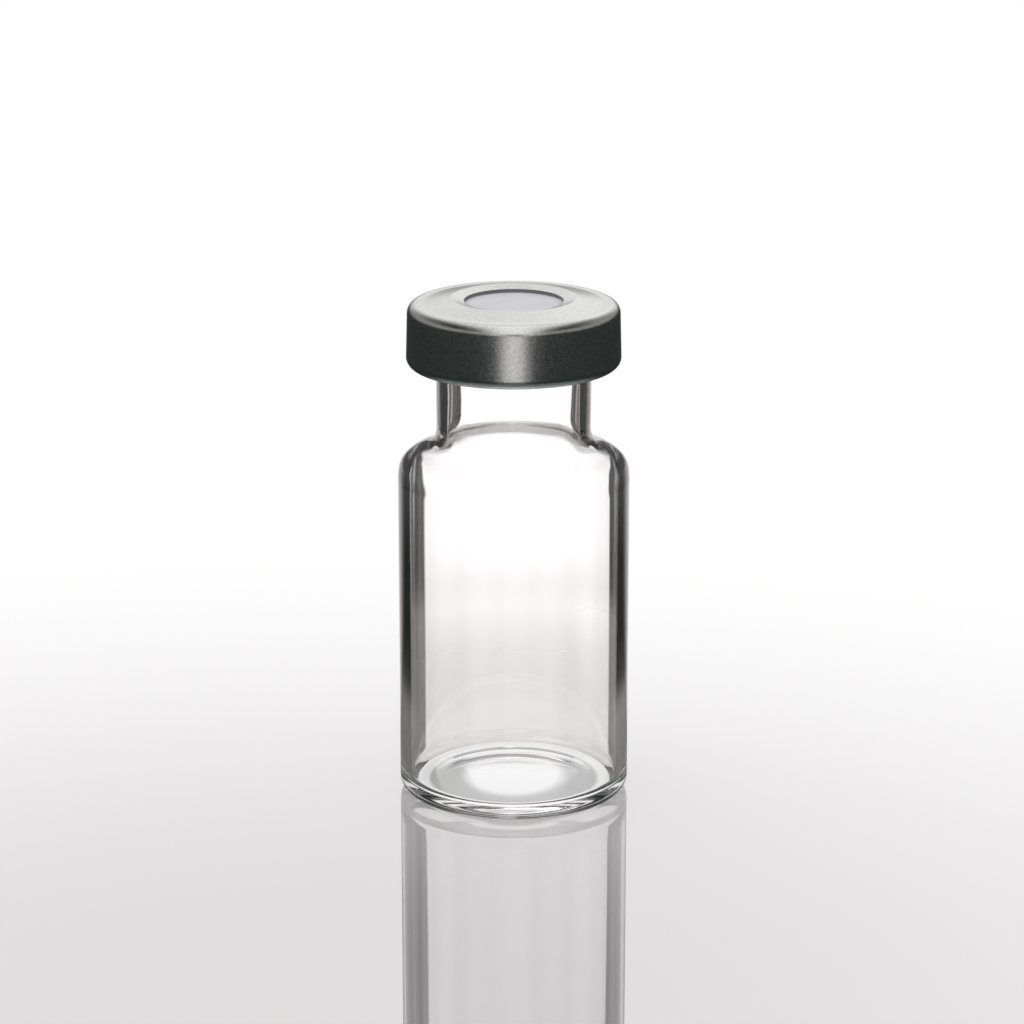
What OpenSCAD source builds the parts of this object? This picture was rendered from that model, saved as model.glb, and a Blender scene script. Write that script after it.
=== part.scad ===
// Headspace sample vial: a vial formed from glass tube, a rubber septum and a crimped aluminium cap.
// Every piece is turned about Z. The origin is the centre of the foot, on the table.

/* [Glass vial] */
// Outer diameter of the body
body_d = 22.5; // [20.5:0.5:30]
// Height of the glass, foot to mouth
glass_h = 46; // [36:1:80]
// Wall of the tube that the vial is drawn from
wall = 1.1; // [0.7:0.05:1.6]
// Outer diameter of the neck
neck_d = 15; // [11:0.5:17]
// Height from the top of the shoulder to the mouth
neck_h = 10.45; // [8:0.05:16]
// Slope of the shoulder above the horizontal, in degrees
shoulder_angle = 25; // [15:1:45]
// Radius of the bend between the body and the shoulder
shoulder_round = 2.4; // [1.6:0.05:3]
// Radius of the same bend inside
inner_shoulder_round = 1.8; // [0.8:0.1:2]
// Thickness of the glass in the slope of the shoulder
shoulder_wall = 0.96; // [0.6:0.02:1.4]
// Radius of the bend between the shoulder and the neck
neck_round = 1.8; // [1:0.1:2.5]
// Radius of the same bend inside
inner_neck_round = 2.4; // [1.2:0.1:2.6]

/* [Foot] */
// Radius of the heel between the body and the toe
heel_round = 1.2; // [0.8:0.1:2.5]
// Width of the raised toe outside the standing ring
toe_w = 2; // [1:0.1:3]
// Height of the toe where it would meet the body's side
toe_lift = 0.3; // [0.1:0.05:0.8]
// Width of the flat ring that the vial stands on
stand_w = 1; // [0.8:0.1:3]
// Height of the push-up under the middle of the base
push_up = 0.7; // [0.3:0.1:1.5]
// Thickness of the glass over the push-up
base_t = 1.05; // [0.8:0.05:2]
// Height of the floor inside, at its edge
floor_edge_z = 1.3; // [1:0.05:1.7]
// Radius between the floor inside and the wall
floor_round = 1.1; // [1:0.05:3]

/* [Crimp flange] */
// Outer diameter of the flange
flange_d = 19.9; // [18.5:0.1:26]
// Height of the flange
flange_h = 2.8; // [2.2:0.1:4.5]
// Rounding of the flange's outer edges
flange_round = 0.6; // [0.3:0.1:0.9]
// Rounding of the mouth's inner edge
mouth_round = 0.5; // [0.2:0.1:0.8]
// Fillet between the neck and the flange
flange_fillet = 0.9; // [0.3:0.1:1.2]

/* [Septum] */
// Thickness of the septum under the cap's rim
septum_t = 3; // [1.5:0.1:4]
// Clearance between the septum's side and the cap
septum_fit = 0.15; // [0.1:0.05:0.4]
// How far the septum's face lies below the sheet inside the needle hole
septum_sink = 0.15; // [0.05:0.05:0.3]
// How far that recess reaches under the hole's edge
sink_reach = 0.25; // [0.1:0.05:0.5]

/* [Crimp cap] */
// Thickness of the aluminium sheet
cap_t = 0.2; // [0.15:0.01:0.3]
// Clearance between the flange's side and the top of the skirt
cap_fit = 0.1; // [0.1:0.05:0.4]
// How much the skirt widens towards its foot
skirt_flare = 0.15; // [0:0.05:0.4]
// Inner radius between the cap's top and its skirt
cap_round = 0.8; // [0.4:0.1:1.2]
// Inner radius of the curl at the foot of the skirt
curl_round = 0.74; // [0.65:0.01:1]
// How far the folded lip reaches past the curl
lip_reach = 0.75; // [0.3:0.05:1.2]
// Diameter of the needle hole
hole_d = 9.6; // [5:0.2:12]
// Width of the dished ring round the hole
dish_w = 1.2; // [0.8:0.1:1.6]
// Depth of the dish at the hole's edge
dish_depth = 0.3; // [0.1:0.05:0.5]
// Rise of the crown above the rim
crown_rise = 0.5; // [0.2:0.05:0.8]
// Width of the flat rim outside the crown
rim_w = 0.65; // [0.4:0.05:0.9]
// Rounding of the crown's ridge
ridge_round = 0.6; // [0.3:0.1:1]

/* [Hidden] */
$fn = 96;

// Steps of an arc, in degrees, and rings of a dome
arc_step = 9;
dome_rings = 8;

// Glass radii
body_r = body_d / 2;
neck_r = neck_d / 2;
flange_r = flange_d / 2;
stand_out_r = body_r - toe_w;
stand_in_r = stand_out_r - stand_w;

// Shoulder: the corner heights of its straight slope, outside and inside
shoulder_top_z = glass_h - neck_h;
shoulder_foot_z = shoulder_top_z - (body_r - neck_r) * tan(shoulder_angle);
wall_drop = (shoulder_wall - wall * sin(shoulder_angle)) / cos(shoulder_angle);

// Flange: its underside, and the fillet that leaves a ledge for the cap's lip
flange_z = glass_h - flange_h;
ledge_w = flange_r - flange_round - neck_r;
ledge_fillet = min(flange_fillet, ledge_w / 2);

// Cap: the inside of its sheet, which the septum and the flange fit
rim_z = glass_h + septum_t;
ridge_z = rim_z + crown_rise;
hole_z = ridge_z - dish_depth;
hole_r = hole_d / 2;
ridge_r = hole_r + dish_w;
cap_in_r = flange_r + cap_fit;
foot_in_r = cap_in_r + skirt_flare;
rim_r = cap_in_r - cap_round - rim_w;
lip_r = max(foot_in_r - curl_round - lip_reach, neck_r + ledge_fillet + cap_fit);

// Septum
septum_r = cap_in_r - septum_fit;

function unit(v) = v / norm(v);
function reversed(list) = [for (i = [len(list) - 1 : -1 : 0]) list[i]];

// The arc that rounds corner b, on the way from a to c, with radius r
function arc(a, b, c, r) =
    let (
        back = unit(a - b),
        on = unit(c - b),
        half = acos(back * on) / 2,
        centre = b + unit(back + on) * r / sin(half),
        first = b + back * r / tan(half) - centre,
        last = b + on * r / tan(half) - centre,
        start = atan2(first[1], first[0]),
        raw = atan2(last[1], last[0]) - start,
        turn = raw > 180 ? raw - 360 : raw < -180 ? raw + 360 : raw,
        steps = ceil(abs(turn) / arc_step)
    )
    [for (i = [0 : steps]) centre + r * [cos(start + turn * i / steps), sin(start + turn * i / steps)]];

// A path through corners [x, z, radius]; a corner with no radius stays sharp
function flat(corner) = [corner[0], corner[1]];
function rounded(corners) = [
    for (i = [0 : len(corners) - 1])
        each corners[i][2] == undef
            ? [flat(corners[i])]
            : arc(flat(corners[i - 1]), flat(corners[i]), flat(corners[i + 1]), corners[i][2])
];

// A shallow dome from the axis out to radius r, at the heights mid and edge
function dome(r, mid, edge) =
    let (sphere = (r * r + (mid - edge) * (mid - edge)) / (2 * (mid - edge)))
    [for (i = [0 : dome_rings]) let (x = r * i / dome_rings) [x, mid - sphere + sqrt(sphere * sphere - x * x)]];

// The same path moved by t to its left, with mitred corners
function side(a, b) = let (d = unit(b - a)) [-d[1], d[0]];
function moved_left(path, t) = [
    for (i = [0 : len(path) - 1])
        let (
            before = side(path[max(i - 1, 0)], path[max(i, 1)]),
            after = side(path[min(i, len(path) - 2)], path[min(i + 1, len(path) - 1)])
        )
        path[i] + (before + after) * t / (1 + before * after)
];

// The crown and flat rim of the cap's inside. From its second corner on, where the recess in the
// hole ends, it is also the septum's top.
sink_r = hole_r + sink_reach;
crown_corners = [
    [hole_r, hole_z],
    [sink_r, hole_z + sink_reach * dish_depth / dish_w],
    [ridge_r, ridge_z, ridge_round],
    [rim_r, rim_z, ridge_round],
];

// Glass, up the outside and down the inside
module glass_vial() {
    base = dome(stand_in_r, push_up, 0);
    outside = rounded([
        [stand_in_r, 0],
        [stand_out_r, 0, heel_round],
        [body_r, toe_lift, heel_round],
        [body_r, shoulder_foot_z, shoulder_round],
        [neck_r, shoulder_top_z, neck_round],
        [neck_r, flange_z, ledge_fillet],
        [flange_r, flange_z, flange_round],
        [flange_r, glass_h, flange_round],
        [neck_r - wall, glass_h, mouth_round],
        [neck_r - wall, shoulder_top_z - wall_drop, inner_neck_round],
        [body_r - wall, shoulder_foot_z - wall_drop, inner_shoulder_round],
        [body_r - wall, floor_edge_z, floor_round],
        [body_r - wall - floor_round, floor_edge_z],
    ]);
    floor_inside = reversed(dome(body_r - wall - floor_round, push_up + base_t, floor_edge_z));
    outline = concat(base, [for (i = [1 : len(outside) - 2]) outside[i]], floor_inside);
    color("aliceblue", 0.35) rotate_extrude() polygon(outline);
}

// Rubber disc, pressed up into the crown and a little lower in the hole
module septum() {
    crown = rounded(concat(crown_corners, [[cap_in_r, rim_z]]));
    top = [for (i = [1 : len(crown) - 2]) crown[i]];
    edge = rounded([[rim_r, rim_z], [septum_r, rim_z, cap_round], [septum_r, glass_h]]);
    recess = [[0, hole_z - septum_sink], [sink_r, hole_z - septum_sink]];
    outline = concat([[0, glass_h]], recess, top, [for (i = [1 : len(edge) - 1]) edge[i]]);
    color("gainsboro") rotate_extrude() polygon(outline);
}

// Aluminium cup, with its foot curled under the flange
module crimp_cap() {
    inside = rounded(concat(crown_corners, [
        [cap_in_r, rim_z, cap_round],
        [foot_in_r, flange_z, curl_round],
        [lip_r, flange_z],
    ]));
    outline = concat(inside, reversed(moved_left(inside, cap_t)));
    color("silver") rotate_extrude() polygon(outline);
}

glass_vial();
septum();
crimp_cap();
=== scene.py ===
"""A headspace sample vial: clear glass, a grey rubber septum and a crimped aluminium cap.

Each piece is a solid of revolution, turned from its own section around the vial's axis.
Lengths are in metres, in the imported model's frame: +Z up, the foot on z = 0.
"""

import math

import bmesh
import bpy
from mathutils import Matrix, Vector


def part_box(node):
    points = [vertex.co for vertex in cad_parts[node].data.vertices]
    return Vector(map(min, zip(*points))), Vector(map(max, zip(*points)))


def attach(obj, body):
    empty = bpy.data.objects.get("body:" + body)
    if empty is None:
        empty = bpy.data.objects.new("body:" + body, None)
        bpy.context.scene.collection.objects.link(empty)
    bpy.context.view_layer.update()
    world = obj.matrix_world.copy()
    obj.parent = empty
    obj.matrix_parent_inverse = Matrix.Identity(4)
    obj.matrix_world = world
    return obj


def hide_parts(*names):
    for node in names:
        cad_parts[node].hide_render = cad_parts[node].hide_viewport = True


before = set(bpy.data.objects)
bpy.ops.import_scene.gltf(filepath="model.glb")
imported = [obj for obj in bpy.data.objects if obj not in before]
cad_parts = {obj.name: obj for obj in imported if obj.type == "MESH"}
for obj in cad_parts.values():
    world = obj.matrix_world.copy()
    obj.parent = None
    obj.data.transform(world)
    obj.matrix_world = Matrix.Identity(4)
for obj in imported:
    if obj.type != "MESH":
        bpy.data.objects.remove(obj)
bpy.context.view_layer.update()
MM = 0.001


# ---------------------------------------------------------------- glass vial
# The vial is drawn from borosilicate tube: the foot is closed and pushed up in a flame, and the
# shoulder, neck and crimp flange are rolled from the same tube. The wall keeps the tube's
# thickness, and the rolled part is a little uneven, which shows in the lines of the shoulder.

glass_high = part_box("glass_vial")[1]
body_r = glass_high.x
mouth_z = glass_high.z
wall = 1.1 * MM
neck_r = 7.5 * MM
neck_h = 10.45 * MM
shoulder_slope = math.radians(25)
shoulder_round = 2.4 * MM
inner_shoulder_round = 1.8 * MM
shoulder_wall = 0.96 * MM
neck_round = 1.8 * MM
inner_neck_round = 2.4 * MM
flange_r = 9.95 * MM
flange_h = 2.8 * MM
flange_round = 0.6 * MM
flange_fillet = 0.9 * MM
mouth_round = 0.5 * MM
heel_round = 1.2 * MM
toe_w = 2.0 * MM
toe_lift = 0.3 * MM
stand_w = 1.0 * MM
push_up = 0.7 * MM
base_t = 1.05 * MM
floor_edge_z = 1.3 * MM
floor_round = 1.1 * MM
bore_r = neck_r - wall
inside_r = body_r - wall
flange_z = mouth_z - flange_h
shoulder_top_z = mouth_z - neck_h
shoulder_foot_z = shoulder_top_z - (body_r - neck_r) * math.tan(shoulder_slope)
wall_drop = (shoulder_wall - wall * math.sin(shoulder_slope)) / math.cos(shoulder_slope)
stand_out_r = body_r - toe_w
stand_in_r = stand_out_r - stand_w
inside_floor_r = inside_r - floor_round

ARC_STEP = math.radians(4.5)
FREE_BEND = 1.44
LONGEST_EDGE = 1.5 * MM
STEPS_AROUND = 256


def rounded(corners):
    """A section's points (radius, height) through corners (radius, height, rounding). A corner with
    True after its rounding is bent freely, as soft glass bends, without a step in curvature."""
    points = []
    for i, (r, z, *rounding) in enumerate(corners):
        corner = Vector((r, z))
        if not rounding:
            points.append(corner)
            continue
        back = (Vector(corners[i - 1][:2]) - corner).normalized()
        on = (Vector(corners[i + 1][:2]) - corner).normalized()
        half = back.angle(on) / 2
        if len(rounding) > 1:
            reach = FREE_BEND * rounding[0] / math.tan(half)
            steps = math.ceil((math.pi - 2 * half) / ARC_STEP * FREE_BEND)
            for k in range(steps + 1):
                t = k / steps
                u = 1 - t
                arm_back = reach * (u**4 + 2 * u**3 * t)
                arm_on = reach * (t**4 + 2 * t**3 * u)
                points.append(corner + back * arm_back + on * arm_on)
            continue
        centre = corner + (back + on).normalized() * rounding[0] / math.sin(half)
        start = corner + back * rounding[0] / math.tan(half) - centre
        turn = start.angle_signed(corner + on * rounding[0] / math.tan(half) - centre)
        steps = max(1, math.ceil(abs(turn) / ARC_STEP))
        for k in range(steps + 1):
            a = -turn * k / steps
            out = start.x * math.cos(a) - start.y * math.sin(a)
            up = start.x * math.sin(a) + start.y * math.cos(a)
            points.append(centre + Vector((out, up)))
    return points


def dome(r, middle_z, edge_z):
    """A shallow dome's section, from the axis out to radius r."""
    rings = 16
    rise = middle_z - edge_z
    sphere = (r * r + rise * rise) / (2 * rise)
    return [
        Vector((r * k / rings, middle_z - sphere + math.sqrt(sphere**2 - (r * k / rings) ** 2)))
        for k in range(rings + 1)
    ]


def divided(points):
    """The same section with no edge longer than LONGEST_EDGE."""
    result = [points[0]]
    for a, b in zip(points, points[1:]):
        parts = max(1, math.ceil((b - a).length / LONGEST_EDGE))
        result += [a.lerp(b, k / parts) for k in range(1, parts + 1)]
    return result


def node(tree, kind, inputs=None, **settings):
    """Adds a node. inputs maps a socket's name or number to a value, or to what feeds it: an
    output, or a node whose first output it takes."""
    made = tree.nodes.new(kind)
    for name, value in settings.items():
        setattr(made, name, value)
    for socket, value in (inputs or {}).items():
        source = value.outputs[0] if isinstance(value, bpy.types.Node) else value
        if isinstance(source, bpy.types.NodeSocket):
            tree.links.new(source, made.inputs[socket])
        else:
            made.inputs[socket].default_value = source
    return made


def lathe_tree():
    """Geometry Nodes that turn the points of a section around Z and roll a slight unevenness in."""
    tree = bpy.data.node_groups.new("turned on the axis", "GeometryNodeTree")
    face = tree.interface
    face.new_socket("Section", in_out="INPUT", socket_type="NodeSocketGeometry")
    for name, kind in (
        ("Steps Around", "NodeSocketInt"),
        ("Unevenness", "NodeSocketFloat"),
        ("Uneven From", "NodeSocketFloat"),
        ("Uneven To", "NodeSocketFloat"),
        ("Waves Per Metre", "NodeSocketFloat"),
        ("Finish", "NodeSocketMaterial"),
    ):
        face.new_socket(name, in_out="INPUT", socket_type=kind)
    face.new_socket("Piece", in_out="OUTPUT", socket_type="NodeSocketGeometry")
    given = tree.nodes.new("NodeGroupInput").outputs

    count = node(tree, "GeometryNodeAttributeDomainSize", {"Geometry": given["Section"]})
    columns = node(tree, "ShaderNodeMath", {0: given["Steps Around"], 1: 1.0}, operation="ADD")
    grid = node(
        tree,
        "GeometryNodeMeshGrid",
        {"Vertices X": count.outputs["Point Count"], "Vertices Y": columns},
    )
    index = node(tree, "GeometryNodeInputIndex")
    row = node(tree, "ShaderNodeMath", {0: index, 1: columns}, operation="DIVIDE")
    row = node(tree, "ShaderNodeMath", {0: row}, operation="FLOOR")
    column = node(tree, "ShaderNodeMath", {0: index, 1: columns}, operation="MODULO")
    share = node(tree, "ShaderNodeMath", {0: column, 1: given["Steps Around"]}, operation="DIVIDE")
    angle = node(tree, "ShaderNodeMath", {0: share, 1: math.tau}, operation="MULTIPLY")
    point = node(
        tree,
        "GeometryNodeSampleIndex",
        {
            "Geometry": given["Section"],
            "Value": node(tree, "GeometryNodeInputPosition"),
            "Index": row,
        },
        data_type="FLOAT_VECTOR",
    )
    placed = node(
        tree, "ShaderNodeVectorRotate", {"Vector": point, "Angle": angle}, rotation_type="Z_AXIS"
    )
    turned = node(
        tree, "GeometryNodeSetPosition", {"Geometry": grid.outputs["Mesh"], "Position": placed}
    )
    closed = node(tree, "GeometryNodeMergeByDistance", {"Geometry": turned, "Distance": 1e-6})

    # The unevenness fades in and out between its two heights, and follows smooth noise.
    position = node(tree, "GeometryNodeInputPosition")
    parts = node(tree, "ShaderNodeSeparateXYZ", {0: position}).outputs
    middle = node(
        tree, "ShaderNodeMath", {0: given["Uneven From"], 1: given["Uneven To"]}, operation="ADD"
    )
    middle = node(tree, "ShaderNodeMath", {0: middle, 1: 0.5}, operation="MULTIPLY")
    reach = node(tree, "ShaderNodeMath", {0: given["Uneven To"], 1: middle}, operation="SUBTRACT")
    away = node(tree, "ShaderNodeMath", {0: parts["Z"], 1: middle}, operation="SUBTRACT")
    away = node(tree, "ShaderNodeMath", {0: away}, operation="ABSOLUTE")
    fade = node(
        tree,
        "ShaderNodeMapRange",
        {
            "Value": away,
            "From Min": reach,
            "From Max": 0.0,
            "To Min": 0.0,
            "To Max": given["Unevenness"],
        },
        interpolation_type="SMOOTHSTEP",
    )
    noise = node(
        tree,
        "ShaderNodeTexNoise",
        {"Vector": position, "Scale": given["Waves Per Metre"], "Detail": 1.0},
    )
    mostly_inward = 0.75
    swing = node(tree, "ShaderNodeMath", {0: noise, 1: mostly_inward}, operation="SUBTRACT")
    push = node(tree, "ShaderNodeMath", {0: swing, 1: fade.outputs["Result"]}, operation="MULTIPLY")
    outward = node(tree, "ShaderNodeCombineXYZ", {0: parts["X"], 1: parts["Y"]})
    outward = node(tree, "ShaderNodeVectorMath", {0: outward}, operation="NORMALIZE")
    shift = node(tree, "ShaderNodeVectorMath", {0: outward, "Scale": push}, operation="SCALE")
    uneven = node(tree, "GeometryNodeSetPosition", {"Geometry": closed, "Offset": shift})
    finished = node(
        tree, "GeometryNodeSetMaterial", {"Geometry": uneven, "Material": given["Finish"]}
    )
    node(tree, "NodeGroupOutput", {0: finished})
    return tree


LATHE = lathe_tree()


def turned_piece(name, section, finish, unevenness=0.0, band=(0.0, 1.0), wave=4 * MM):
    """A mesh object turned from a section, with faces outwards and edges over 35 degrees sharp."""
    points = divided(section)
    mesh = bpy.data.meshes.new(name)
    mesh.from_pydata([(p.x, 0.0, p.y) for p in points], [], [])
    piece = bpy.data.objects.new(name, mesh)
    bpy.context.scene.collection.objects.link(piece)
    modifier = piece.modifiers.new("lathe", "NODES")
    modifier.node_group = LATHE
    values = {
        "Steps Around": STEPS_AROUND,
        "Unevenness": unevenness,
        "Uneven From": band[0],
        "Uneven To": band[1],
        "Waves Per Metre": 1 / wave,
        "Finish": finish,
    }
    for item in LATHE.interface.items_tree:
        if item.name in values:
            modifier[item.identifier] = values[item.name]
    bpy.context.view_layer.update()
    result = bpy.data.meshes.new_from_object(
        piece.evaluated_get(bpy.context.evaluated_depsgraph_get())
    )
    piece.modifiers.remove(modifier)
    piece.data = result
    bpy.data.meshes.remove(mesh)
    shape = bmesh.new()
    shape.from_mesh(result)
    bmesh.ops.dissolve_degenerate(shape, dist=1e-9, edges=shape.edges)
    bmesh.ops.recalc_face_normals(shape, faces=shape.faces)
    shape.to_mesh(result)
    shape.free()
    result.shade_smooth()
    result.set_sharp_from_angle(angle=math.radians(35))
    return piece


def linear(code):
    """The linear colour of an sRGB hex code."""
    shares = [int(code[i : i + 2], 16) / 255 for i in (0, 2, 4)]
    return [s / 12.92 if s <= 0.04045 else ((s + 0.055) / 1.055) ** 2.4 for s in shares] + [1.0]


def borosilicate():
    """Clear borosilicate tube glass: colourless, fire-polished, with the faint draw of the tube."""
    material = bpy.data.materials.new("borosilicate tube glass")
    material.use_nodes = True
    tree = material.node_tree
    shader = tree.nodes["Principled BSDF"]
    shader.inputs["Base Color"].default_value = linear("FFFFFF")
    shader.inputs["Roughness"].default_value = 0.0
    shader.inputs["IOR"].default_value = 1.49
    shader.inputs["Transmission Weight"].default_value = 1.0
    place = node(tree, "ShaderNodeTexCoord").outputs["Object"]
    drawn = node(tree, "ShaderNodeMapping", {"Vector": place, "Scale": (1, 1, 0.12)})
    ripple = node(
        tree, "ShaderNodeTexNoise", {"Vector": drawn, "Scale": 1 / (3.5 * MM), "Detail": 1.0}
    )
    relief = node(
        tree, "ShaderNodeBump", {"Height": ripple, "Distance": 0.012 * MM, "Strength": 1.0}
    )
    tree.links.new(relief.outputs[0], shader.inputs["Normal"])
    return material


glass_section = (
    dome(stand_in_r, push_up, 0)
    + rounded(
        [
            (stand_in_r, 0),
            (stand_out_r, 0, heel_round),
            (body_r, toe_lift, heel_round),
            (body_r, shoulder_foot_z, shoulder_round, True),
            (neck_r, shoulder_top_z, neck_round, True),
            (neck_r, flange_z, flange_fillet),
            (flange_r, flange_z, flange_round),
            (flange_r, mouth_z, flange_round),
            (bore_r, mouth_z, mouth_round),
            (bore_r, shoulder_top_z - wall_drop, inner_neck_round, True),
            (inside_r, shoulder_foot_z - wall_drop, inner_shoulder_round, True),
            (inside_r, floor_edge_z, floor_round),
            (inside_floor_r, floor_edge_z),
        ]
    )[1:-1]
    + dome(inside_floor_r, push_up + base_t, floor_edge_z)[::-1]
)
vial = turned_piece(
    "vial_glass",
    glass_section,
    borosilicate(),
    unevenness=0.12 * MM,
    band=(shoulder_foot_z - 3 * MM, flange_z - 1 * MM),
    wave=5 * MM,
)
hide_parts("glass_vial")
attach(vial, "root")


# ---------------------------------------------------------------- septum
# A light grey rubber disc, moulded and punched from sheet. The crimped cap presses it on the
# mouth and lets it dome up into the crown; only the round of the needle hole shows.

septum_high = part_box("septum")[1]
septum_t = 3.0 * MM
sink_depth = 0.15 * MM
sink_reach = 0.25 * MM
cap_t = 0.2 * MM
cap_fit = 0.1 * MM
skirt_flare = 0.15 * MM
lip_reach = 0.75 * MM
cap_round = 0.8 * MM
curl_round = 0.74 * MM
hole_r = 4.8 * MM
dish_w = 1.2 * MM
dish_depth = 0.3 * MM
rim_w = 0.65 * MM
ridge_round = 0.6 * MM
crown_rise = 0.5 * MM
cap_in_r = flange_r + cap_fit
foot_in_r = cap_in_r + skirt_flare
lip_r = foot_in_r - curl_round - lip_reach
rim_z = mouth_z + septum_t
ridge_z = rim_z + crown_rise
crown_corners = [
    (hole_r, ridge_z - dish_depth),
    (hole_r + dish_w, ridge_z, ridge_round),
    (cap_in_r - cap_round - rim_w, rim_z, ridge_round),
]


def grey_rubber():
    """Moulded chlorobutyl rubber: light grey, smooth and matt, with a fine bloom and specks. Its
    skin is drawn at 0.25 mm, because the real one is too fine to show."""
    material = bpy.data.materials.new("moulded grey rubber")
    material.use_nodes = True
    tree = material.node_tree
    shader = tree.nodes["Principled BSDF"]
    shader.inputs["Roughness"].default_value = 0.55
    shader.inputs["IOR"].default_value = 1.5
    place = node(tree, "ShaderNodeTexCoord").outputs["Object"]
    bloom = node(
        tree, "ShaderNodeTexNoise", {"Vector": place, "Scale": 1 / (1.8 * MM), "Detail": 3.0}
    )
    body = node(
        tree,
        "ShaderNodeMix",
        {"Factor": bloom, "A": linear("C2C1C5"), "B": linear("D6D5D9")},
        data_type="RGBA",
    )
    specks = node(tree, "ShaderNodeTexVoronoi", {"Vector": place, "Scale": 1 / (0.9 * MM)})
    dark = node(
        tree,
        "ShaderNodeMapRange",
        {"Value": specks.outputs["Distance"], "From Min": 0.05, "From Max": 0.1},
    )
    specked = node(
        tree,
        "ShaderNodeMix",
        {"Factor": dark, "A": linear("A9A8AD"), "B": body.outputs["Result"]},
        data_type="RGBA",
    )
    tree.links.new(specked.outputs["Result"], shader.inputs["Base Color"])
    grain = node(tree, "ShaderNodeTexNoise", {"Vector": place, "Scale": 1 / (0.25 * MM)})
    relief = node(tree, "ShaderNodeBump", {"Height": grain, "Distance": 0.01 * MM, "Strength": 1.0})
    tree.links.new(relief.outputs[0], shader.inputs["Normal"])
    return material


sink_r = hole_r + sink_reach
sink_z = ridge_z - dish_depth - sink_depth
sink_top_z = ridge_z - dish_depth * (1 - sink_reach / dish_w)
crown = rounded(crown_corners + [(cap_in_r, rim_z)])[1:-1]
septum_edge = rounded(
    [
        (cap_in_r - cap_round - rim_w, rim_z),
        (septum_high.x, rim_z, cap_round),
        (septum_high.x, mouth_z),
    ]
)[1:]
recess = [(0, mouth_z), (0, sink_z), (sink_r, sink_z), (sink_r, sink_top_z)]
septum_section = [Vector(p) for p in recess] + crown + septum_edge + [Vector((0, mouth_z))]
disc = turned_piece("septum_disc", septum_section, grey_rubber())
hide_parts("septum")
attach(disc, "root")


# ---------------------------------------------------------------- crimp cap
# A cup drawn from 0.2 mm aluminium sheet, mill finish. The crimping jaws press its rim down on
# the septum and roll its foot under the glass flange, and the needle hole is punched.


def moved_out(path, t):
    """The same path moved by t to its left, with mitred corners."""
    sides = []
    for a, b in zip(path, path[1:]):
        d = (b - a).normalized()
        sides.append(Vector((-d.y, d.x)))
    moved = []
    for i, p in enumerate(path):
        before = sides[max(i - 1, 0)]
        after = sides[min(i, len(sides) - 1)]
        moved.append(p + (before + after) * t / (1 + before.dot(after)))
    return moved


def mill_aluminium():
    """Soft aluminium sheet, mill finish: bright grey and satin, with fine grain and the haze of
    handling. The real grain, about 0.05 mm, is too fine to show, so it is drawn at 0.2 mm."""
    material = bpy.data.materials.new("mill finish aluminium")
    material.use_nodes = True
    tree = material.node_tree
    shader = tree.nodes["Principled BSDF"]
    shader.inputs["Metallic"].default_value = 1.0
    place = node(tree, "ShaderNodeTexCoord").outputs["Object"]
    haze = node(tree, "ShaderNodeTexNoise", {"Vector": place, "Scale": 1 / (4 * MM), "Detail": 4.0})
    tone = node(
        tree,
        "ShaderNodeMix",
        {"Factor": haze, "A": linear("DEDEDC"), "B": linear("ECECEA")},
        data_type="RGBA",
    )
    grain = node(
        tree, "ShaderNodeTexNoise", {"Vector": place, "Scale": 1 / (0.2 * MM), "Detail": 2.0}
    )
    depth = node(
        tree,
        "ShaderNodeMapRange",
        {
            "Value": node(tree, "ShaderNodeSeparateXYZ", {0: place}).outputs["Z"],
            "From Min": rim_z - 1 * MM,
            "From Max": rim_z,
            "To Min": 0.74,
            "To Max": 0.88,
        },
    )
    grain_tone = node(
        tree,
        "ShaderNodeMapRange",
        {"Value": grain, "From Min": 0.3, "From Max": 0.7, "To Min": depth, "To Max": 1.06},
    )
    grained = node(
        tree,
        "ShaderNodeVectorMath",
        {0: tone.outputs["Result"], 1: grain_tone},
        operation="MULTIPLY",
    )

    # The needle hole's punched edge is painted dark grey: the cut edge is dull, and painted shade
    # stands in for the gap between it and the septum.
    level_place = node(tree, "ShaderNodeVectorMath", {0: place, 1: (1, 1, 0)}, operation="MULTIPLY")
    radius = node(tree, "ShaderNodeVectorMath", {0: level_place}, operation="LENGTH")
    dull_edge_and_shade = node(
        tree,
        "ShaderNodeMapRange",
        {
            "Value": radius.outputs["Value"],
            "From Min": hole_r + 0.015 * MM,
            "From Max": hole_r + 0.005 * MM,
        },
    )
    finish = node(
        tree,
        "ShaderNodeMix",
        {"Factor": dull_edge_and_shade, "A": grained, "B": linear("7C7C7E")},
        data_type="RGBA",
    )
    tree.links.new(finish.outputs["Result"], shader.inputs["Base Color"])
    rough = node(
        tree,
        "ShaderNodeMapRange",
        {"Value": grain, "From Min": 0.3, "From Max": 0.7, "To Min": 0.23, "To Max": 0.27},
    )
    tree.links.new(rough.outputs[0], shader.inputs["Roughness"])
    relief = node(
        tree, "ShaderNodeBump", {"Height": grain, "Distance": 0.0008 * MM, "Strength": 1.0}
    )
    tree.links.new(relief.outputs[0], shader.inputs["Normal"])
    return material


cap_inside = rounded(
    crown_corners
    + [
        (cap_in_r, rim_z, cap_round),
        (foot_in_r, flange_z, curl_round),
        (lip_r, flange_z),
    ]
)
cap_section = cap_inside + moved_out(cap_inside, cap_t)[::-1] + cap_inside[:1]
cap = turned_piece("cap_shell", cap_section, mill_aluminium())
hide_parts("crimp_cap")
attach(cap, "root")


# ---------------------------------------------------------------- studio
# A glossy pale table that runs out to white, and soft light from all round. Tall dark cards
# stand between the eight main directions, where only what has passed through the glass sees
# them: they draw the dark lines of its edges.


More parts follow.
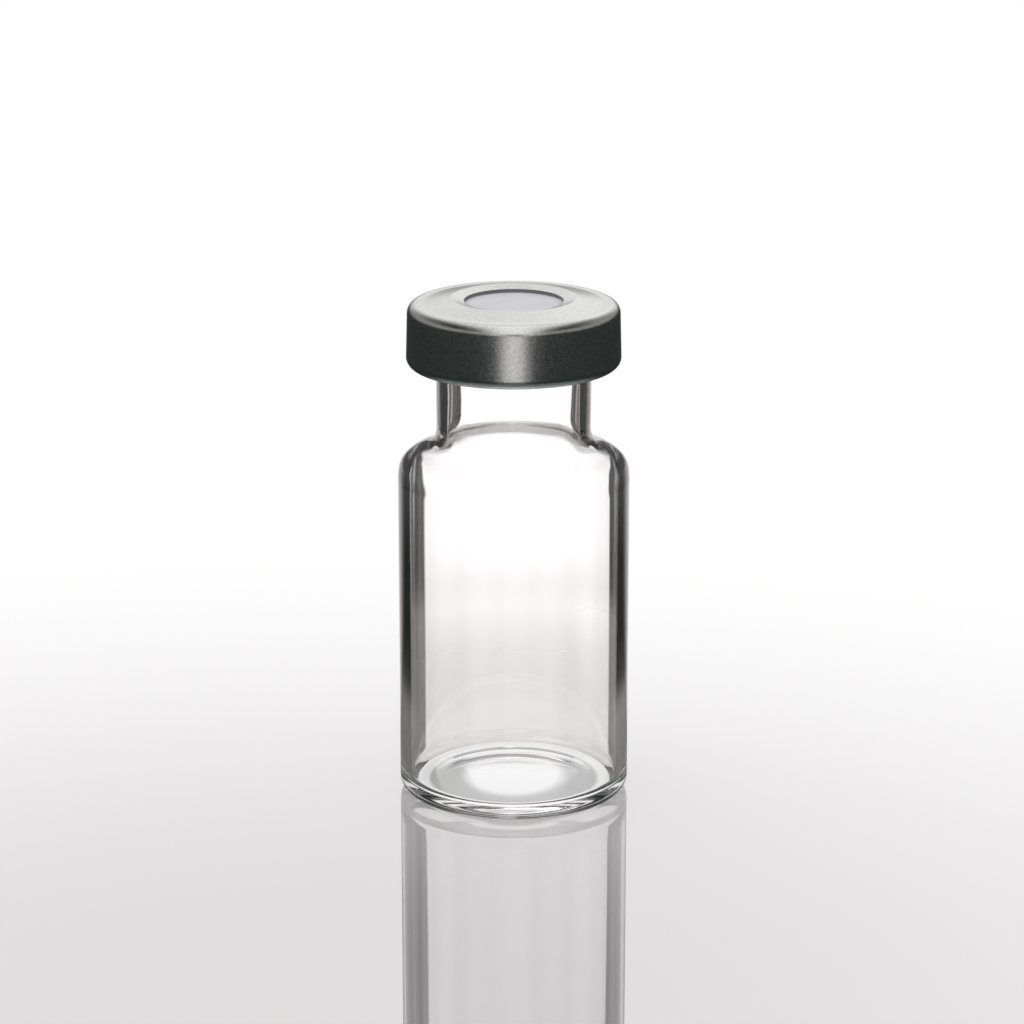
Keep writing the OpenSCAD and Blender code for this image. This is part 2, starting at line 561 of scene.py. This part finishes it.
def cards_group():
    """How much light comes from a direction, past the dark cards. They stand a little off the
    main directions, so that the lines of both edges differ."""
    tree = bpy.data.node_groups.new("light past the cards", "ShaderNodeTree")
    tree.interface.new_socket("Direction", in_out="INPUT", socket_type="NodeSocketVector")
    tree.interface.new_socket("Light", in_out="OUTPUT", socket_type="NodeSocketFloat")
    given = tree.nodes.new("NodeGroupInput").outputs[0]
    parts = node(tree, "ShaderNodeSeparateXYZ", {0: given}).outputs
    azimuth = node(tree, "ShaderNodeMath", {0: parts["X"], 1: parts["Y"]}, operation="ARCTAN2")
    cards_turned = math.radians(2.2)
    half_pitch = math.radians(22.5)
    azimuth = node(tree, "ShaderNodeMath", {0: azimuth, 1: cards_turned}, operation="SUBTRACT")
    off = node(tree, "ShaderNodeMath", {0: azimuth, 1: half_pitch}, operation="PINGPONG")
    behind = node(
        tree,
        "ShaderNodeMapRange",
        {
            "Value": off,
            "From Min": math.radians(13.6),
            "From Max": math.radians(12.4),
            "To Min": 0.04,
            "To Max": 1.2,
        },
        interpolation_type="SMOOTHSTEP",
    )
    # Between the cards' far edges there is a gap, and light that turned back inside the wall
    # finds only a slit at the front, the back and each side: both are low down.
    gap = node(
        tree,
        "ShaderNodeMapRange",
        {
            "Value": off,
            "From Min": math.radians(19),
            "From Max": math.radians(22),
            "To Min": 0.0,
            "To Max": 0.45,
        },
        interpolation_type="SMOOTHSTEP",
    )
    quarter = node(tree, "ShaderNodeMath", {0: azimuth, 1: 2 * half_pitch}, operation="PINGPONG")
    slit = node(
        tree,
        "ShaderNodeMapRange",
        {
            "Value": quarter,
            "From Min": math.radians(4.2),
            "From Max": math.radians(2),
            "To Min": 0.04,
            "To Max": 0.6,
        },
        interpolation_type="SMOOTHSTEP",
    )
    low = node(
        tree,
        "ShaderNodeMapRange",
        {
            "Value": parts["Z"],
            "From Min": math.sin(math.radians(17.2)),
            "From Max": math.sin(math.radians(15.7)),
            "To Min": 0.15,
        },
        interpolation_type="SMOOTHSTEP",
    )
    turned_back = node(tree, "ShaderNodeMath", {0: slit, 1: low}, operation="MULTIPLY")

    # Light that turned in the thick foot and goes steeply up out of it finds a wide opening.
    opening = node(
        tree,
        "ShaderNodeMapRange",
        {
            "Value": quarter,
            "From Min": math.radians(25),
            "From Max": math.radians(19),
            "To Min": 0.2,
            "To Max": 1.1,
        },
        interpolation_type="SMOOTHSTEP",
    )
    path = node(tree, "ShaderNodeLightPath").outputs
    steep = node(
        tree,
        "ShaderNodeMapRange",
        {
            "Value": parts["Z"],
            "From Min": math.sin(math.radians(18.5)),
            "From Max": math.sin(math.radians(21)),
        },
    )
    steep = node(
        tree, "ShaderNodeMath", {0: steep, 1: path["Is Transmission Ray"]}, operation="MULTIPLY"
    )
    turned_back = node(
        tree, "ShaderNodeMix", {"Factor": steep, "A": turned_back, "B": opening}, data_type="FLOAT"
    )
    gap = node(tree, "ShaderNodeMath", {0: gap, 1: low}, operation="MULTIPLY")
    behind = node(tree, "ShaderNodeMath", {0: behind, 1: gap}, operation="MAXIMUM")
    once = node(
        tree,
        "ShaderNodeMapRange",
        {
            "Value": path["Glossy Depth"],
            "From Min": 1.0,
            "From Max": 2.0,
            "To Min": 1.0,
            "To Max": 0.45,
        },
    )
    behind = node(tree, "ShaderNodeMath", {0: behind, 1: once}, operation="MULTIPLY")
    crossed = node(
        tree, "ShaderNodeMath", {0: path["Transmission Depth"], 1: 2.5}, operation="GREATER_THAN"
    )
    total = node(
        tree, "ShaderNodeMix", {"Factor": crossed, "A": turned_back, "B": behind}, data_type="FLOAT"
    )
    node(tree, "NodeGroupOutput", {0: total})
    return tree


def upright_group():
    """Painted light on the table, standing in for an upright light in front of the vial and one
    behind it, from 0 to 1 by direction: the one that satin metal finds is narrower than the one
    that glass does."""
    tree = bpy.data.node_groups.new("upright lights", "ShaderNodeTree")
    tree.interface.new_socket("Direction", in_out="INPUT", socket_type="NodeSocketVector")
    tree.interface.new_socket("For Metal", in_out="OUTPUT", socket_type="NodeSocketFloat")
    tree.interface.new_socket("For Glass", in_out="OUTPUT", socket_type="NodeSocketFloat")
    given = tree.nodes.new("NodeGroupInput").outputs[0]
    parts = node(tree, "ShaderNodeSeparateXYZ", {0: given}).outputs
    azimuth = node(tree, "ShaderNodeMath", {0: parts["X"], 1: parts["Y"]}, operation="ARCTAN2")
    off = node(tree, "ShaderNodeMath", {0: azimuth, 1: math.pi / 2}, operation="PINGPONG")
    narrow = node(
        tree,
        "ShaderNodeMapRange",
        {"Value": off, "From Min": math.radians(20), "From Max": math.radians(3)},
        interpolation_type="SMOOTHSTEP",
    )
    wide = node(
        tree,
        "ShaderNodeMapRange",
        {"Value": off, "From Min": math.radians(50), "From Max": math.radians(28)},
        interpolation_type="SMOOTHSTEP",
    )
    node(tree, "NodeGroupOutput", {0: narrow, 1: wide})
    return tree


def pale_table():
    """Gloss white acrylic sheet: a pale body under a mirror-like face, running out to white, with
    painted light and shade where it is seen through the glass and in mirrors.
    """
    material = bpy.data.materials.new("gloss acrylic table")
    material.use_nodes = True
    tree = material.node_tree
    tree.nodes.clear()
    ray = node(tree, "ShaderNodeLightPath").outputs
    place = node(tree, "ShaderNodeTexCoord").outputs["Object"]
    radius = node(tree, "ShaderNodeVectorMath", {0: place}, operation="LENGTH").outputs["Value"]
    body = node(tree, "ShaderNodeBsdfDiffuse", {"Color": linear("A9A7A8")})
    face = node(tree, "ShaderNodeBsdfGlossy", {"Color": linear("FFFFFF"), "Roughness": 0.0})
    mirror_share = 0.55
    sheet = node(tree, "ShaderNodeMixShader", {0: mirror_share, 1: body, 2: face})

    # Its lit grey is deepest around a point in front of the vial and a little to the left, and runs
    # out to white: a painted falloff of light.
    near = node(
        tree,
        "ShaderNodeMapping",
        {0: place, "Location": (18 * MM, 60 * MM, 0), "Scale": (0.85, 1, 1)},
    )
    near = node(tree, "ShaderNodeVectorMath", {0: near}, operation="LENGTH").outputs["Value"]
    run_out = node(
        tree,
        "ShaderNodeMapRange",
        {"Value": near, "From Min": 15 * MM, "From Max": 145 * MM},
        interpolation_type="SMOOTHSTEP",
    )
    run_out = node(
        tree, "ShaderNodeMath", {0: run_out, 1: ray["Is Camera Ray"]}, operation="MULTIPLY"
    )
    white = node(tree, "ShaderNodeEmission", {"Color": (1, 1, 1, 1), "Strength": 1.012})
    plain = node(tree, "ShaderNodeMixShader", {0: run_out, 1: sheet, 2: white})

    # Through the glass it is a mirror on a pale body, both painted by radius: the mirror is painted
    # dimmer near the vial, and the body is painted dark where the cards stand, further in for light
    # that turned back inside the wall.
    gloss = node(
        tree,
        "ShaderNodeMapRange",
        {"Value": radius, "From Min": 33 * MM, "From Max": 92 * MM, "To Min": 0.54, "To Max": 1.0},
        interpolation_type="SMOOTHSTEP",
    )
    bright_face = node(tree, "ShaderNodeBsdfGlossy", {"Color": gloss, "Roughness": 0.0})
    crossed = node(
        tree, "ShaderNodeMath", {0: ray["Transmission Depth"], 1: 2.5}, operation="GREATER_THAN"
    )
    near_cards = 24 * MM
    far_cards = 52 * MM
    foot = node(
        tree,
        "ShaderNodeMix",
        {"Factor": crossed, "A": near_cards, "B": far_cards},
        data_type="FLOAT",
    )
    past = node(tree, "ShaderNodeMath", {0: radius, 1: foot}, operation="SUBTRACT")
    pale = node(
        tree,
        "ShaderNodeMapRange",
        {"Value": past, "From Min": 4 * MM, "From Max": 18 * MM, "To Min": 0.2, "To Max": 0.03},
        interpolation_type="SMOOTHSTEP",
    )
    # Painted light: the pale body seen through the glass is lighter on the right side, and it is
    # tinted warm.
    painted_light_right = node(
        tree,
        "ShaderNodeMapRange",
        {
            "Value": node(tree, "ShaderNodeSeparateXYZ", {0: place}).outputs["X"],
            "From Min": 8 * MM,
            "From Max": 14 * MM,
            "To Min": 1.0,
            "To Max": 1.5,
        },
        interpolation_type="SMOOTHSTEP",
    )
    pale = node(tree, "ShaderNodeMath", {0: pale, 1: painted_light_right}, operation="MULTIPLY")
    warmth = (1.0, 0.95, 0.92)
    warm = node(tree, "ShaderNodeVectorMath", {0: pale, 1: warmth}, operation="MULTIPLY")
    pale_body = node(tree, "ShaderNodeBsdfDiffuse", {"Color": warm})
    through = node(tree, "ShaderNodeAddShader", {0: bright_face, 1: pale_body})

    # Under the foot the table glows with a painted pool of light, in place of the light that comes
    # down through the glass: a spot stretched from front to back, and a ring where the foot stands.
    spot = node(
        tree, "ShaderNodeMapping", {0: place, "Location": (0, -1.2 * MM, 0), "Scale": (1, 0.75, 1)}
    )
    spot = node(tree, "ShaderNodeVectorMath", {0: spot}, operation="LENGTH")
    spot = node(
        tree,
        "ShaderNodeMapRange",
        {
            "Value": spot.outputs["Value"],
            "From Min": 5.8 * MM,
            "From Max": 4.2 * MM,
            "To Min": 0.58,
            "To Max": 1.0,
        },
        interpolation_type="SMOOTHSTEP",
    )
    ring = node(
        tree,
        "ShaderNodeMapRange",
        {"Value": radius, "From Min": 7.6 * MM, "From Max": 8.6 * MM, "To Min": 0.0, "To Max": 1.0},
        interpolation_type="SMOOTHSTEP",
    )
    painted_foot_light = node(tree, "ShaderNodeMath", {0: spot, 1: ring}, operation="MAXIMUM")
    painted_foot_light = node(tree, "ShaderNodeEmission", {"Color": (1, 1, 1, 1), "Strength": painted_foot_light})
    foot_r = (stand_out_r + body_r) / 2
    under = node(tree, "ShaderNodeMath", {0: radius, 1: foot_r}, operation="LESS_THAN")
    through = node(tree, "ShaderNodeMixShader", {0: under, 1: through, 2: painted_foot_light})
    through = node(
        tree, "ShaderNodeMixShader", {0: ray["Is Transmission Ray"], 1: plain, 2: through}
    )

    # What the cap and the glass mirror of it, painted on the table as light that it gives off:
    # strips of painted light in front and behind, a painted glow close to the vial, tinted cool
    # where it is dark and warm where it is lit.
    lights = node(tree, "ShaderNodeGroup", {"Direction": place}, node_tree=upright_group()).outputs
    close = node(
        tree,
        "ShaderNodeMapRange",
        {"Value": radius, "From Min": 60 * MM, "From Max": 35 * MM, "To Min": 0.027, "To Max": 0.2},
        interpolation_type="SMOOTHSTEP",
    )
    farther = node(
        tree,
        "ShaderNodeMapRange",
        {
            "Value": radius,
            "From Min": 110 * MM,
            "From Max": 210 * MM,
            "To Min": 0.2,
            "To Max": 1.35,
        },
        interpolation_type="SMOOTHSTEP",
    )
    metal_light = node(
        tree, "ShaderNodeMath", {0: lights["For Metal"], 1: farther}, operation="MULTIPLY"
    )
    horizon = node(
        tree,
        "ShaderNodeMapRange",
        {"Value": radius, "From Min": 300 * MM, "From Max": 700 * MM, "To Min": 1.0, "To Max": 0.3},
        interpolation_type="SMOOTHSTEP",
    )
    metal_light = node(tree, "ShaderNodeMath", {0: metal_light, 1: horizon}, operation="MULTIPLY")
    light = node(
        tree,
        "ShaderNodeMix",
        {"Factor": ray["Is Singular Ray"], "A": metal_light, "B": lights["For Glass"]},
        data_type="FLOAT",
    )
    light_level = 0.85
    mirrored = node(tree, "ShaderNodeMath", {0: light, 1: light_level}, operation="MULTIPLY")
    mirrored = node(tree, "ShaderNodeMath", {0: mirrored, 1: close}, operation="MAXIMUM")
    cast = node(
        tree,
        "ShaderNodeMix",
        {"Factor": light, "A": linear("EDFFFC"), "B": linear("FFFAFB")},
        data_type="RGBA",
    )
    mirrored = node(
        tree, "ShaderNodeEmission", {"Color": cast.outputs["Result"], "Strength": mirrored}
    )
    reflection = node(
        tree,
        "ShaderNodeMath",
        {0: ray["Is Glossy Ray"], 1: ray["Is Reflection Ray"]},
        operation="MULTIPLY",
    )
    result = node(tree, "ShaderNodeMixShader", {0: reflection, 1: through, 2: mirrored})
    node(tree, "ShaderNodeOutputMaterial", {0: result})
    return material


def clear_film():
    """Polyester cover film: it bends nothing, and warms what is seen through it by a trace."""
    material = bpy.data.materials.new("clear cover film")
    material.use_nodes = True
    tree = material.node_tree
    tree.nodes.clear()
    clear = node(tree, "ShaderNodeBsdfTransparent", {"Color": linear("FFFEFE")})
    node(tree, "ShaderNodeOutputMaterial", {0: clear})
    return material


# The film lies just over the table, so that the world can tell the light that the table mirrors,
# which has passed the film, from the light that the glass mirrors.
table_half = 3.0
corners = ((-1, -1), (1, -1), (1, 1), (-1, 1))
for name, z, finish in (("table", 0.0, pale_table()), ("cover_film", 0.005 * MM, clear_film())):
    sheet_mesh = bpy.data.meshes.new(name)
    sheet_mesh.from_pydata(
        [(x * table_half, y * table_half, z) for x, y in corners], [], [(0, 1, 2, 3)]
    )
    sheet_mesh.materials.append(finish)
    table = bpy.data.objects.new(name, sheet_mesh)
    bpy.context.scene.collection.objects.link(table)


def studio_world():
    """White all round for the camera and the table's mirror face, cards for what has passed through
    the glass, a room with a white wall and a strip light for satin metal, and a plain level of
    light for matt surfaces."""
    world = bpy.data.worlds.new("studio")
    bpy.context.scene.world = world
    world.use_nodes = True
    tree = world.node_tree
    tree.nodes.clear()
    ray = node(tree, "ShaderNodeLightPath").outputs
    way = node(tree, "ShaderNodeTexCoord").outputs["Generated"]
    parts = node(tree, "ShaderNodeSeparateXYZ", {0: way}).outputs
    height = parts["Z"]

    # What satin metal mirrors: a white wall behind that fades to both sides, most to the left,
    # and falls off towards the ceiling. A strip light runs over the top to the front, where the
    # camera stands before it, and there is a little light low down all round.
    lens_height = math.radians(8)
    white_side = node(
        tree,
        "ShaderNodeMapRange",
        {"Value": parts["Y"], "From Min": -0.3, "From Max": 0.6, "To Min": 0.08, "To Max": 0.92},
        interpolation_type="SMOOTHSTEP",
    )
    above = node(tree, "ShaderNodeMapRange", {"Value": height, "From Min": 0.02, "From Max": 0.16})
    ceiling = node(
        tree,
        "ShaderNodeMapRange",
        {"Value": height, "From Min": 0.62, "From Max": 0.8, "To Min": 1.0, "To Max": 0.3},
        interpolation_type="SMOOTHSTEP",
    )
    sideways = node(tree, "ShaderNodeMath", {0: parts["X"]}, operation="ABSOLUTE")
    across = node(
        tree,
        "ShaderNodeMapRange",
        {"Value": sideways, "From Min": 0.15, "From Max": 0.62, "To Min": 1.0, "To Max": 0.22},
        interpolation_type="SMOOTHSTEP",
    )
    rightward = node(
        tree, "ShaderNodeMath", {0: parts["X"], 1: 0.45, 2: 1.0}, operation="MULTIPLY_ADD"
    )
    for share in (above, ceiling, across, rightward):
        white_side = node(tree, "ShaderNodeMath", {0: white_side, 1: share}, operation="MULTIPLY")
    strip = node(
        tree,
        "ShaderNodeMapRange",
        {"Value": sideways, "From Min": 0.66, "From Max": 0.08},
        interpolation_type="SMOOTHSTEP",
    )
    front = node(
        tree,
        "ShaderNodeMapRange",
        {"Value": parts["Y"], "From Min": 0.85, "From Max": 0.5},
        interpolation_type="SMOOTHSTEP",
    )
    dark_lens = node(
        tree,
        "ShaderNodeVectorMath",
        {0: way, 1: (0, -math.cos(lens_height), math.sin(lens_height))},
        operation="DISTANCE",
    )
    dark_lens = node(
        tree,
        "ShaderNodeMapRange",
        {"Value": dark_lens.outputs["Value"], "From Min": 0.08, "From Max": 0.3, "To Min": 0.1},
        interpolation_type="SMOOTHSTEP",
    )
    for share in (front, dark_lens):
        strip = node(tree, "ShaderNodeMath", {0: strip, 1: share}, operation="MULTIPLY")
    around = node(
        tree,
        "ShaderNodeMapRange",
        {"Value": height, "From Min": 0.56, "From Max": 0.42, "To Min": 0.0, "To Max": 0.28},
        interpolation_type="SMOOTHSTEP",
    )
    around = node(tree, "ShaderNodeMath", {0: around, 1: above}, operation="MULTIPLY")
    room = node(tree, "ShaderNodeMath", {0: white_side, 1: strip}, operation="MAXIMUM")
    room = node(tree, "ShaderNodeMath", {0: room, 1: around}, operation="MAXIMUM")
    satin = node(
        tree,
        "ShaderNodeMath",
        {0: ray["Is Glossy Ray"], 1: ray["Is Singular Ray"]},
        operation="SUBTRACT",
    )
    off_table = node(
        tree, "ShaderNodeMath", {0: ray["Transparent Depth"], 1: 0.5}, operation="LESS_THAN"
    )
    again = node(tree, "ShaderNodeMath", {0: ray["Glossy Depth"], 1: 1.5}, operation="GREATER_THAN")
    off_glass = node(tree, "ShaderNodeMath", {0: off_table, 1: again}, operation="MAXIMUM")
    off_glass = node(
        tree, "ShaderNodeMath", {0: ray["Is Glossy Ray"], 1: off_glass}, operation="MULTIPLY"
    )
    off_glass_level = 0.12
    level = node(
        tree,
        "ShaderNodeMix",
        {"Factor": off_glass, "A": 1.0, "B": off_glass_level},
        data_type="FLOAT",
    )
    level = node(tree, "ShaderNodeMix", {"Factor": satin, "A": level, "B": room}, data_type="FLOAT")
    cards = node(tree, "ShaderNodeGroup", {"Direction": way}, node_tree=cards_group())
    upward = node(
        tree,
        "ShaderNodeMapRange",
        {
            "Value": height,
            "From Min": math.sin(math.radians(22)),
            "From Max": math.sin(math.radians(40)),
            "To Min": 0.775,
            "To Max": 0.467,
        },
        interpolation_type="SMOOTHSTEP",
    )
    straight = node(
        tree,
        "ShaderNodeMix",
        {"Factor": ray["Is Transmission Ray"], "A": 1.0, "B": upward},
        data_type="FLOAT",
    )
    cards = node(tree, "ShaderNodeMath", {0: cards, 1: straight}, operation="MULTIPLY")
    passed = node(
        tree, "ShaderNodeMath", {0: ray["Transmission Depth"], 1: 0.5}, operation="GREATER_THAN"
    )
    level = node(
        tree, "ShaderNodeMix", {"Factor": passed, "A": level, "B": cards}, data_type="FLOAT"
    )
    matt_level = 0.64
    level = node(
        tree,
        "ShaderNodeMix",
        {"Factor": ray["Is Diffuse Ray"], "A": level, "B": matt_level},
        data_type="FLOAT",
    )
    back = node(tree, "ShaderNodeBackground", {"Color": (1, 1, 1, 1), "Strength": level})
    node(tree, "ShaderNodeOutputWorld", {0: back})


studio_world()


# A square softbox overhead faces the middle of the vial, and nothing mirrors it.
scene = bpy.context.scene
lamp_data = bpy.data.lights.new("top softbox", "AREA")
lamp_data.size = 0.5
lamp_data.energy = 1.6
lamp = bpy.data.objects.new("top softbox", lamp_data)
lamp.location = (-0.12, -0.05, 0.6)
facing = Vector((0, 0, 25 * MM)) - lamp.location
lamp.rotation_euler = facing.to_track_quat("-Z", "Y").to_euler()
lamp.visible_glossy = False
scene.collection.objects.link(lamp)

# Light turns many times inside the wall before it leaves.
most_bounces = 64
scene.cycles.max_bounces = most_bounces
scene.cycles.transmission_bounces = most_bounces
scene.cycles.glossy_bounces = most_bounces
scene.view_settings.view_transform = "Standard"


# ---------------------------------------------------------------- camera
# A long lens looks slightly down on the vial, level with the world's horizon.

camera_data = bpy.data.cameras.new("camera")
camera_data.sensor_width = 36.0
camera_data.lens = 125.66
camera_data.shift_x = -0.0017
camera_data.clip_start = 0.01
camera = bpy.data.objects.new("camera", camera_data)
camera_distance = 348.5 * MM
camera_pitch = math.radians(16.35)
aim = Vector((0, 0, 28.24 * MM))
camera.location = aim + camera_distance * Vector(
    (0, -math.cos(camera_pitch), math.sin(camera_pitch))
)
camera.rotation_euler = (math.pi / 2 - camera_pitch, 0, 0)
scene.collection.objects.link(camera)
scene.camera = camera
